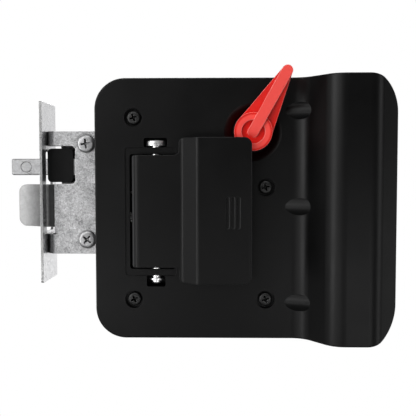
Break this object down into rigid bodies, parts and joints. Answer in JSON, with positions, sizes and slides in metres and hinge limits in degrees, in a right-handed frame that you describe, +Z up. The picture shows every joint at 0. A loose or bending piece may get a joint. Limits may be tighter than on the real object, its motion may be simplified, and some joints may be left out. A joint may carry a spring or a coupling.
{
  "type": "paddle latch",
  "caption": "Flush-mounted door latch: black inside trim with a spring-loaded pull paddle, red lock lever and moulded pull, on a mortise case with a slanted latch bolt and a flat deadbolt.",
  "frame": {"origin": "middle of the trim's seat on the inside of the door", "axes": "+X away from the bolts, along the door; +Y into the door, away from the user; +Z up"},
  "size_m": [0.1816, 0.0573, 0.1228],
  "materials": {
    "trim_plastic": "fine moulded satin",
    "paddle_plastic": "fine moulded satin",
    "block_plastic": "plain moulded",
    "red_plastic": "satin moulded",
    "black_screw": "black oxide",
    "zinc_plated": "bright zinc plate, spangled",
    "faceplate_steel": "bright zinc plate",
    "case_screw_steel": "zinc plate",
    "die_cast": "as cast, tumbled",
    "bolt_steel": "zinc plate, rubbed",
    "bright_steel": "bright",
    "spring_steel": "drawn wire"
  },
  "bodies": {
    "root": {"interior_trim": "trim_plastic", "mounting_screws": "black_screw", "paddle_pin": "bright_steel", "paddle_pin_clip": "bright_steel", "paddle_springs": "spring_steel", "faceplate": "faceplate_steel", "case_front": "zinc_plated", "case_back": "die_cast", "case_screws": "case_screw_steel", "case_spacers": "bright_steel", "latch_spring": "spring_steel", "detent_spring": "spring_steel"},
    "paddle_body": {"paddle": "paddle_plastic", "paddle_arm": "zinc_plated"},
    "latch_body": {"latch_bolt": "die_cast", "latch_tail": "zinc_plated", "tail_rivets": "bright_steel", "latch_rod": "bright_steel"},
    "lever_body": {"lock_lever": "red_plastic", "lever_clip": "bright_steel", "lever_spindle": "zinc_plated", "lock_cam": "die_cast", "cam_pin": "bright_steel"},
    "deadbolt_body": {"deadbolt": "bolt_steel", "deadbolt_stake": "bolt_steel", "deadbolt_block": "block_plastic", "deadbolt_link": "zinc_plated", "link_rivet": "bright_steel"}
  },
  "joints": [
    {"name": "paddle_hinge", "type": "hinge", "parent": "root", "child": "paddle_body", "pos_m": [-0.0408, 0.0003, 0], "axis": [0, 0, -1], "range_deg": [0, 33], "stiffness_Nm_per_rad": 0.12, "springref_deg": -20.05, "deforming": ["paddle_springs"]},
    {"name": "latch_slide", "type": "slide", "parent": "root", "child": "latch_body", "axis": [1, 0, 0], "range_m": [0, 0.0137], "deforming": ["latch_spring"]},
    {"name": "lever_turn", "type": "hinge", "parent": "root", "child": "lever_body", "pos_m": [0.0033, 0, 0.0349], "axis": [0, -1, 0], "range_deg": [0, 74]},
    {"name": "deadbolt_slide", "type": "slide", "parent": "root", "child": "deadbolt_body", "axis": [1, 0, 0], "range_m": [0, 0.0124], "deforming": ["detent_spring"]}
  ],
  "couplings": [
    {"joint": "latch_slide", "follows": "paddle_hinge", "m_per_rad": 0.023613},
    {"joint": "deadbolt_slide", "follows": "lever_turn", "m_per_rad": 0.0095235}
  ]
}
